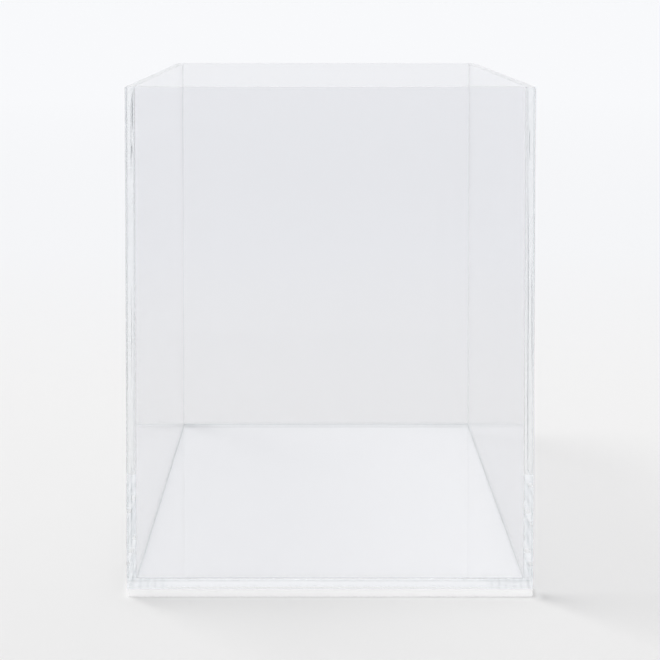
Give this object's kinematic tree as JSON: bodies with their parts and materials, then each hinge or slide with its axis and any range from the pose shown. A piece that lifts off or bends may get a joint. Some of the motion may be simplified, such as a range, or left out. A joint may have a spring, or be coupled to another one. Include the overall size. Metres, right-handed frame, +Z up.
{
  "type": "acrylic display box",
  "caption": "Tall open-topped display box of clear acrylic sheet with cemented corners, standing on a thin white base plate.",
  "frame": {"origin": "centre of the underside of the white base plate", "axes": "+Z up through the open top, front faces -Y, +X to the right seen from the front"},
  "size_m": [0.2032, 0.2032, 0.2555],
  "materials": {
    "clear_acrylic": "clear and polished",
    "white_acrylic": "opal white with sawn edges",
    "cement": "cured solvent cement with trapped bubbles"
  },
  "bodies": {
    "root": {"base_plate": "white_acrylic", "floor_panel": "clear_acrylic", "front_panel": "clear_acrylic", "back_panel": "clear_acrylic", "left_panel": "clear_acrylic", "right_panel": "clear_acrylic", "front_left_seam": "cement", "front_right_seam": "cement", "back_left_seam": "cement", "back_right_seam": "cement", "front_foot_seam": "cement", "back_foot_seam": "cement", "left_foot_seam": "cement", "right_foot_seam": "cement"}
  },
  "joints": []
}
